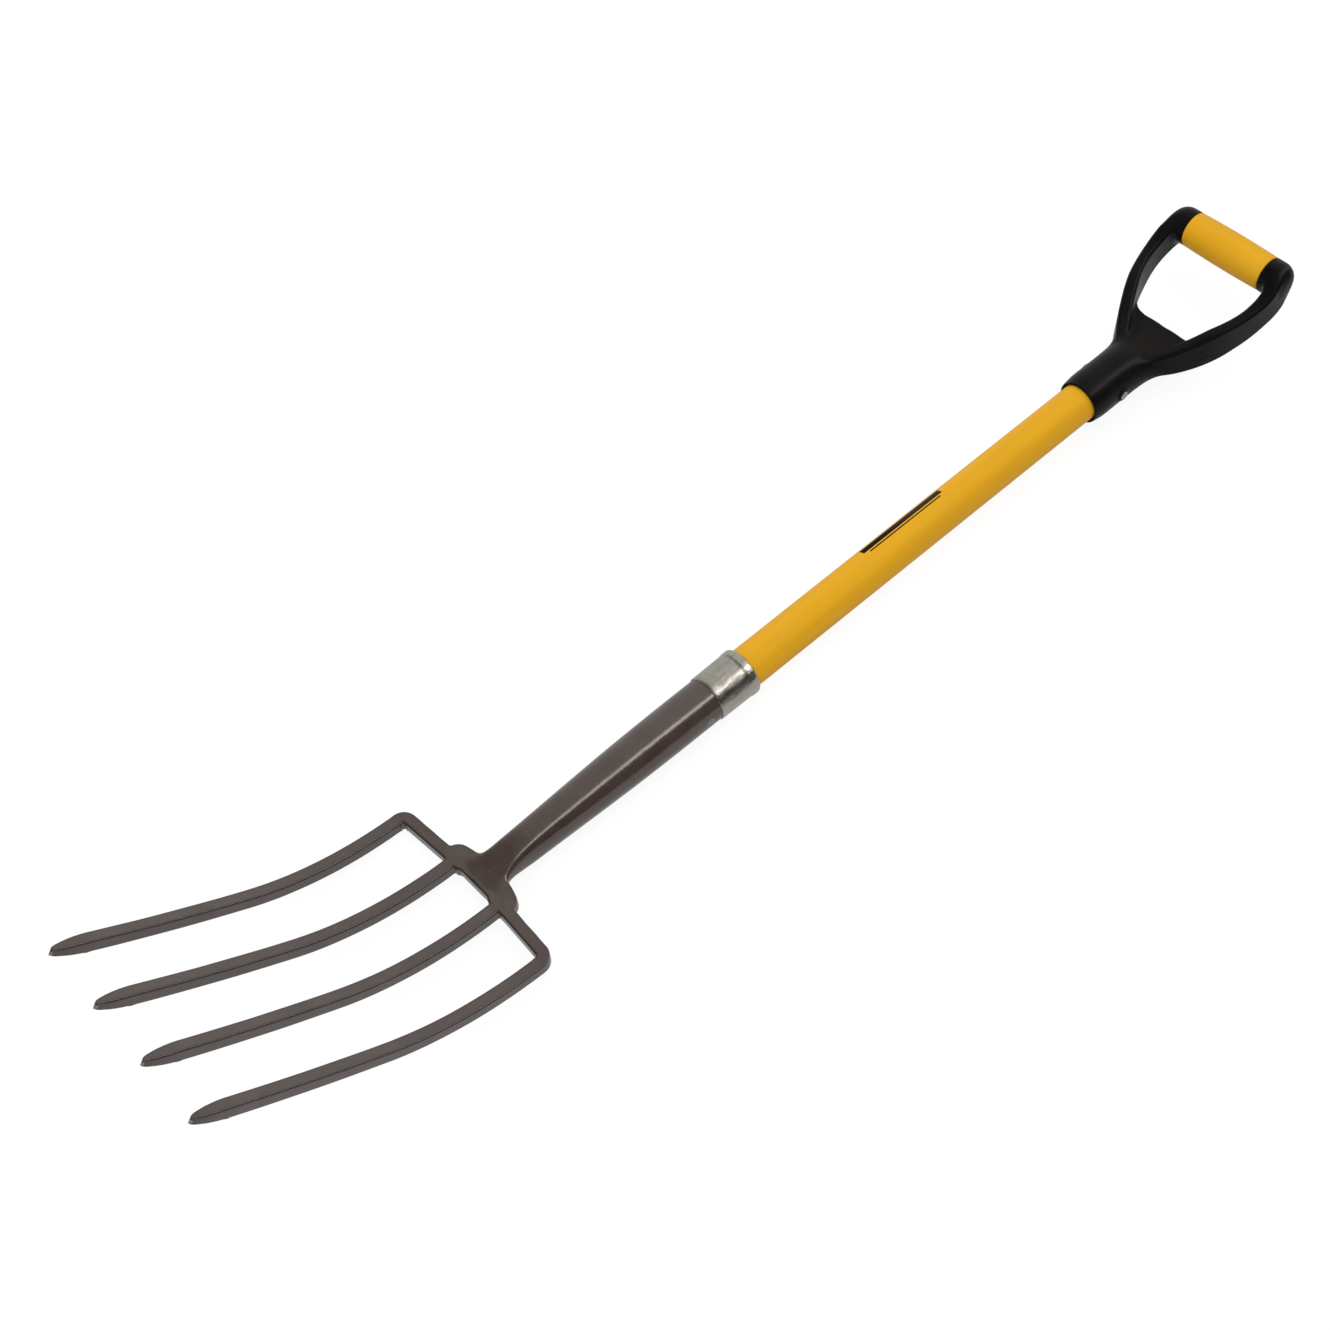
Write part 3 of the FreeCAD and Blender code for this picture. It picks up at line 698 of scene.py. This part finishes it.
def build_print(material):
    """Plain printed bar and thin rule on the sleeve, as a closed film just over its surface."""
    columns = 12
    wide = columns + 1
    layer = 2 * wide
    points, faces = [], []
    for y0, y1, middle, half in PRINT_BARS:
        first = len(points)
        spread = half * 180 / math.pi / SHAFT_R
        for radius in (SHAFT_R + 0.005, SHAFT_R + PRINT_FILM):
            for y in (y0, y1):
                for i in range(wide):
                    a = math.radians(middle - spread * (1 - 2 * i / columns))
                    points.append((radius * math.cos(a), y, radius * math.sin(a)))
        for i in range(columns):
            a, b, c, d = first + i, first + i + 1, first + wide + i + 1, first + wide + i
            faces.append((a + layer, d + layer, c + layer, b + layer))
            faces.append((a, b, c, d))
            faces.append((a, a + layer, b + layer, b))
            faces.append((d, c, c + layer, d + layer))
        for i in (0, columns):
            a, d = first + i, first + wide + i
            side = (a, d, d + layer, a + layer)
            faces.append(side if i == 0 else side[::-1])
    return make_piece("printed_bars", points, faces, material)


# ---------------------------------------------------------------- materials

def new_material(name):
    material = bpy.data.materials.new(name)
    material.use_nodes = True
    tree = material.node_tree
    return material, tree, tree.nodes["Principled BSDF"]


def plug(tree, made, inputs):
    """Links each input of a node to a socket, or sets it to a constant."""
    for key, value in inputs.items():
        if isinstance(value, bpy.types.NodeSocket):
            tree.links.new(value, made.inputs[key])
        else:
            made.inputs[key].default_value = value


def node(tree, kind, inputs=None, **settings):
    made = tree.nodes.new(kind)
    for key, value in settings.items():
        setattr(made, key, value)
    plug(tree, made, inputs or {})
    return made


def stretched(tree, scale):
    """Object coordinates stretched by a scale for each axis, per metre."""
    place = node(tree, "ShaderNodeTexCoord").outputs["Object"]
    return node(tree, "ShaderNodeMapping", {"Vector": place, "Scale": scale}).outputs["Vector"]


def noise(tree, vector, scale, detail=4.0, rough=0.55):
    return node(tree, "ShaderNodeTexNoise", {"Vector": vector, "Scale": scale, "Detail": detail,
                                             "Roughness": rough}).outputs["Fac"]


def ramp(tree, factor, stops):
    made = node(tree, "ShaderNodeValToRGB", {"Fac": factor})
    band = made.color_ramp
    while len(band.elements) < len(stops):
        band.elements.new(0.5)
    for element, (place, colour) in zip(band.elements, stops):
        element.position = place
        element.color = (*colour, 1.0)
    return made.outputs["Color"]


def span(tree, value, start, end, low=0.0, high=1.0):
    """A value that runs from low to high as another runs from start to end."""
    return node(tree, "ShaderNodeMapRange", {"Value": value, "From Min": start, "From Max": end,
                                             "To Min": low, "To Max": high}).outputs["Result"]


def between(tree, factor, low, high):
    """A value that runs from low to high over the middle range of a noise."""
    return span(tree, factor, 0.3, 0.7, low, high)


def bump(tree, height, strength, distance, normal=None):
    inputs = {"Height": height, "Strength": strength, "Distance": distance}
    if normal is not None:
        inputs["Normal"] = normal
    return node(tree, "ShaderNodeBump", inputs).outputs["Normal"]


def mix(tree, factor, a, b):
    return node(tree, "ShaderNodeMix", {0: factor, 6: a, 7: b}, data_type="RGBA").outputs[2]


def powder_coat():
    """Brown-grey semi-gloss coat on steel, painted shade on edges, bare metal at the points."""
    material, tree, shader = new_material("powder_coat")
    place = stretched(tree, (1, 1, 1))
    cloud = noise(tree, place, 34, 6.0, 0.6)
    colour = ramp(tree, cloud, [(0.30, (0.045, 0.029, 0.024)), (0.52, (0.056, 0.037, 0.030)),
                                (0.74, (0.068, 0.046, 0.038))])
    fleck = span(tree, noise(tree, place, 420, 3.0, 0.6), 0.66, 0.74)
    colour = mix(tree, fleck, colour, (0.10, 0.085, 0.075, 1.0))
    # The attribute carries the tips' wear above zero and the painted edge shade below zero
    wear_and_shade = node(tree, "ShaderNodeAttribute", attribute_name="wear_and_edge_shade").outputs["Fac"]
    # Painted shade: darkens the coat where the attribute is negative, along the head's top edges
    painted_edge_shade = span(tree, wear_and_shade, -0.15, -1.0, 0.0, 0.72)
    colour = mix(tree, painted_edge_shade, colour, (0.022, 0.017, 0.014, 1.0))
    patchy = node(tree, "ShaderNodeMath", {0: wear_and_shade, 1: noise(tree, place, 700, 4.0)},
                  operation="ADD")
    bare = span(tree, patchy.outputs[0], 1.18, 1.34)
    peel = bump(tree, noise(tree, place, 900, 2.0, 0.5), 0.10, 0.0004)
    plug(tree, shader, {
        "Base Color": mix(tree, bare, colour, (0.36, 0.35, 0.34, 1.0)),
        "Metallic": bare,
        "Roughness": between(tree, noise(tree, place, 60, 5.0), 0.15, 0.21),
        "Normal": bump(tree, noise(tree, place, 160, 3.0, 0.5), 0.10, 0.0010, peel),
        "Specular IOR Level": 0.75})
    return material


def zinc_plate():
    """Bright zinc with faint drawn streaks, dull blotches and small dark pits."""
    material, tree, shader = new_material("zinc_plate")
    place = stretched(tree, (1, 1, 1))
    streak = noise(tree, stretched(tree, (1, 0.12, 1)), 300, 5.0, 0.6)
    colour = ramp(tree, streak, [(0.25, (0.32, 0.31, 0.27)), (0.55, (0.41, 0.40, 0.36)),
                                 (0.8, (0.48, 0.47, 0.44))])
    pit = span(tree, noise(tree, place, 520, 4.0, 0.7), 0.69, 0.76)
    rough = bump(tree, streak, 0.10, 0.0008)
    plug(tree, shader, {
        "Base Color": mix(tree, pit, colour, (0.22, 0.21, 0.20, 1.0)),
        "Metallic": 1.0,
        "Roughness": between(tree, noise(tree, place, 110, 5.0), 0.27, 0.38),
        "Normal": bump(tree, noise(tree, place, 130, 3.0), 0.34, 0.0018, rough)})
    return material


def dull_steel():
    """Rivet steel with fine mottled dirt."""
    material, tree, shader = new_material("dull_steel")
    grain = noise(tree, stretched(tree, (1, 1, 1)), 900, 4.0, 0.6)
    plug(tree, shader, {
        "Base Color": ramp(tree, grain, [(0.3, (0.20, 0.19, 0.18)), (0.6, (0.40, 0.39, 0.38))]),
        "Metallic": 1.0,
        "Roughness": between(tree, grain, 0.24, 0.42),
        "Normal": bump(tree, grain, 0.15, 0.0004)})
    return material


def painted_rivet():
    """The socket's flush rivet, coated with the socket and rubbed bright in places."""
    material, tree, shader = new_material("painted_rivet")
    rubbed = noise(tree, stretched(tree, (1, 1, 1)), 330, 4.0, 0.6)
    plug(tree, shader, {
        "Base Color": ramp(tree, rubbed, [(0.40, (0.10, 0.088, 0.082)),
                                          (0.60, (0.24, 0.225, 0.22))]),
        "Metallic": span(tree, rubbed, 0.45, 0.65, 0.0, 0.8),
        "Roughness": between(tree, rubbed, 0.42, 0.28),
        "Normal": bump(tree, rubbed, 0.2, 0.0006)})
    return material


def yellow_plastic(name, axis_scale):
    """Satin yellow polypropylene, with faint flow streaks along the moulding or extrusion."""
    material, tree, shader = new_material(name)
    place = stretched(tree, (1, 1, 1))
    flow = noise(tree, stretched(tree, axis_scale), 90, 4.0, 0.5)
    colour = ramp(tree, flow, [(0.25, (0.675, 0.330, 0.004)), (0.5, (0.715, 0.357, 0.005)),
                               (0.8, (0.750, 0.382, 0.007))])
    dust = span(tree, noise(tree, place, 640, 3.0, 0.6), 0.70, 0.76, 0.0, 0.25)
    fine = bump(tree, noise(tree, place, 1400, 2.0), 0.05, 0.0003)
    plug(tree, shader, {
        "Base Color": mix(tree, dust, colour, (0.50, 0.24, 0.02, 1.0)),
        "Roughness": between(tree, noise(tree, place, 45, 4.0), 0.48, 0.58),
        "Normal": bump(tree, flow, 0.06, 0.0010, fine),
        "Specular IOR Level": 0.22})
    return material


def black_plastic():
    """Satin black polypropylene with a fine moulded grain."""
    material, tree, shader = new_material("black_moulding")
    place = stretched(tree, (1, 1, 1))
    cloud = noise(tree, place, 40, 4.0, 0.55)
    plug(tree, shader, {
        "Base Color": ramp(tree, cloud, [(0.3, (0.0034, 0.0031, 0.0031)),
                                         (0.7, (0.0062, 0.0054, 0.0051))]),
        "Roughness": between(tree, cloud, 0.30, 0.40),
        "Normal": bump(tree, noise(tree, place, 1500, 3.0, 0.6), 0.10, 0.0003),
        "Specular IOR Level": 0.10})
    return material


def printing_ink():
    """Thin black ink, slightly uneven."""
    material, tree, shader = new_material("printing_ink")
    thin = noise(tree, stretched(tree, (1, 1, 1)), 800, 3.0, 0.6)
    plug(tree, shader, {
        "Base Color": ramp(tree, thin, [(0.3, (0.006, 0.005, 0.004)),
                                        (0.75, (0.014, 0.010, 0.006))]),
        "Roughness": between(tree, thin, 0.45, 0.60),
        "Specular IOR Level": 0.12})
    return material


def glass_fibre():
    """Pultruded tube: resin with fibres along it."""
    material, tree, shader = new_material("glass_fibre")
    fibre = noise(tree, stretched(tree, (1, 0.03, 1)), 700, 4.0, 0.6)
    plug(tree, shader, {
        "Base Color": ramp(tree, fibre, [(0.3, (0.42, 0.37, 0.25)), (0.7, (0.62, 0.57, 0.44))]),
        "Roughness": between(tree, fibre, 0.30, 0.45),
        "Normal": bump(tree, fibre, 0.15, 0.0005)})
    return material


def plug_wood():
    """Hardwood with its grain along the shaft."""
    material, tree, shader = new_material("turned_hardwood")
    grain = noise(tree, stretched(tree, (1, 0.06, 1)), 220, 6.0, 0.6)
    plug(tree, shader, {
        "Base Color": ramp(tree, grain, [(0.3, (0.36, 0.23, 0.12)), (0.7, (0.58, 0.41, 0.25))]),
        "Roughness": between(tree, grain, 0.55, 0.7),
        "Normal": bump(tree, grain, 0.2, 0.0005)})
    return material


# ---------------------------------------------------------------- stage, light and camera

WHITE = (1.0, 1.0, 1.0, 1.0)

# Brightness round the shaft, from the horizon on the right (0) over the top (0.5) to the left (1)
SKY_STOPS = [(0.000, (0.02, 0.02, 0.02)), (0.305, (0.02, 0.02, 0.02)), (0.322, (6.6, 6.4, 6.2)),
             (0.375, (6.0, 5.8, 5.6)), (0.392, (0.90, 0.87, 0.84)), (1.000, (0.84, 0.82, 0.80))]

# Where the camera stands in the shaft frame, and how it is turned there, in millimetres and degrees
CAMERA_PLACE = (777.4, -364.8, 1378.9)
CAMERA_AZIMUTH, CAMERA_ELEVATION, CAMERA_ROLL = 55.48, 54.01, -9.0
CAMERA_LENS, CAMERA_SENSOR = 58.64, 36.0


def build_floor():
    """White floor that gives most of its own light, so that shadows on it stay faint."""
    half = 6.0
    mesh = bpy.data.meshes.new("floor")
    mesh.from_pydata([(-half, -half, 0), (half, -half, 0), (half, half, 0), (-half, half, 0)],
                     [], [(0, 1, 2, 3)])
    material, tree, shader = new_material("floor_white")
    seen = node(tree, "ShaderNodeLightPath").outputs["Is Camera Ray"]
    plug(tree, shader, {
        "Base Color": (0.12, 0.12, 0.12, 1.0),
        "Emission Color": WHITE,
        "Emission Strength": between(tree, seen, 0.60, 0.90),
        "Roughness": 0.8,
        "Specular IOR Level": 0.1})
    mesh.materials.append(material)
    floor = bpy.data.objects.new("floor", mesh)
    bpy.context.scene.collection.objects.link(floor)


def build_sky():
    """Studio round the fork, white where the camera sees it.

    Reflections meet a dark side on the right, a narrow bright strip over it and soft grey from the
    top round to the left, all of it dimmer towards the tines. The diffuse light is stronger from
    the left.
    """
    world = bpy.data.worlds.new("studio")
    bpy.context.scene.world = world
    world.use_nodes = True
    tree = world.node_tree
    tree.nodes.clear()
    way = node(tree, "ShaderNodeTexCoord").outputs["Generated"]
    split = node(tree, "ShaderNodeSeparateXYZ", {"Vector": way})
    angle = node(tree, "ShaderNodeMath", {0: split.outputs["Z"], 1: split.outputs["X"]},
                 operation="ARCTAN2")
    round_shaft = ramp(tree, span(tree, angle.outputs[0], 0.0, math.pi), SKY_STOPS)
    along_shaft = span(tree, split.outputs["Y"], -0.15, 0.3, 0.16, 1.0)
    lit = node(tree, "ShaderNodeBackground", {"Color": round_shaft, "Strength": along_shaft})
    from_left = span(tree, split.outputs["X"], 0.7, -0.5, 0.56, 1.02)
    even = node(tree, "ShaderNodeBackground", {"Color": WHITE, "Strength": from_left})
    seen = node(tree, "ShaderNodeBackground", {"Color": WHITE})
    path = node(tree, "ShaderNodeLightPath")
    light = node(tree, "ShaderNodeMixShader", {0: path.outputs["Is Glossy Ray"],
                                               1: even.outputs[0], 2: lit.outputs[0]})
    both = node(tree, "ShaderNodeMixShader", {0: path.outputs["Is Camera Ray"],
                                              1: light.outputs[0], 2: seen.outputs[0]})
    node(tree, "ShaderNodeOutputWorld", {"Surface": both.outputs[0]})


def build_lights():
    """A broad soft light over the fork that fills the shading but isn't mirrored."""
    light = bpy.data.lights.new("overhead", "AREA")
    light.shape = "RECTANGLE"
    light.size, light.size_y = 1.6, 1.9
    light.energy = 16.0
    holder = bpy.data.objects.new("overhead", light)
    bpy.context.scene.collection.objects.link(holder)
    place = Vector((0.35, 0.0, 2.2))
    holder.location = place
    holder.rotation_euler = (-place).to_track_quat("-Z", "Y").to_euler()
    holder.visible_glossy = False


def build_camera():
    """Camera over the fork's right, looking down on its front."""
    place = Vector(to_row([CAMERA_PLACE])[0])
    azimuth, elevation = math.radians(CAMERA_AZIMUTH), math.radians(CAMERA_ELEVATION)
    roll = math.radians(CAMERA_ROLL)
    back = Vector((math.sin(azimuth) * math.cos(elevation),
                   -math.cos(azimuth) * math.cos(elevation), math.sin(elevation)))
    level = Vector((math.cos(azimuth), math.sin(azimuth), 0))
    right = level * math.cos(roll) + back.cross(level) * math.sin(roll)
    turn = Matrix([turn_to_row([way])[0] for way in (right, back.cross(right), back)]).transposed()
    data = bpy.data.cameras.new("camera")
    data.lens = CAMERA_LENS
    data.sensor_width = CAMERA_SENSOR
    camera = bpy.data.objects.new("camera", data)
    bpy.context.scene.collection.objects.link(camera)
    camera.matrix_world = Matrix.Translation(place) @ turn.to_4x4()
    bpy.context.scene.camera = camera


# ---------------------------------------------------------------- making it

build_camera()
build_floor()
build_sky()
build_lights()
bpy.context.scene.view_settings.view_transform = "Standard"

coat = powder_coat()
build_head(coat)
build_socket(coat)
build_ferrule(zinc_plate())
build_jacket(yellow_plastic("yellow_sleeve_plastic", (1, 0.05, 1)))
build_print(printing_ink())
build_yoke(black_plastic())
build_grip(yellow_plastic("yellow_grip_plastic", (0.2, 1, 1)))
build_rivet("socket_pin", "socket_rivet", SOCKET_RIVET_Y, shank_r=3.0, head_r=4.3, seat_x=18.5,
            proud=0.4, dimple_r=1.6, material=painted_rivet())
build_rivet("handle_pin", "handle_rivet", BOSS_Y, shank_r=2.5, head_r=3.9, seat_x=BOSS_X,
            proud=0.7, dimple_r=1.5, material=dull_steel())

# The pieces inside the fork keep their CAD meshes
for name, material in (("shaft_core", glass_fibre()), ("socket_end_plug", plug_wood()),
                       ("handle_end_plug", plug_wood())):
    piece = frame["nodes"][name]
    piece.data.materials.clear()
    piece.data.materials.append(material)
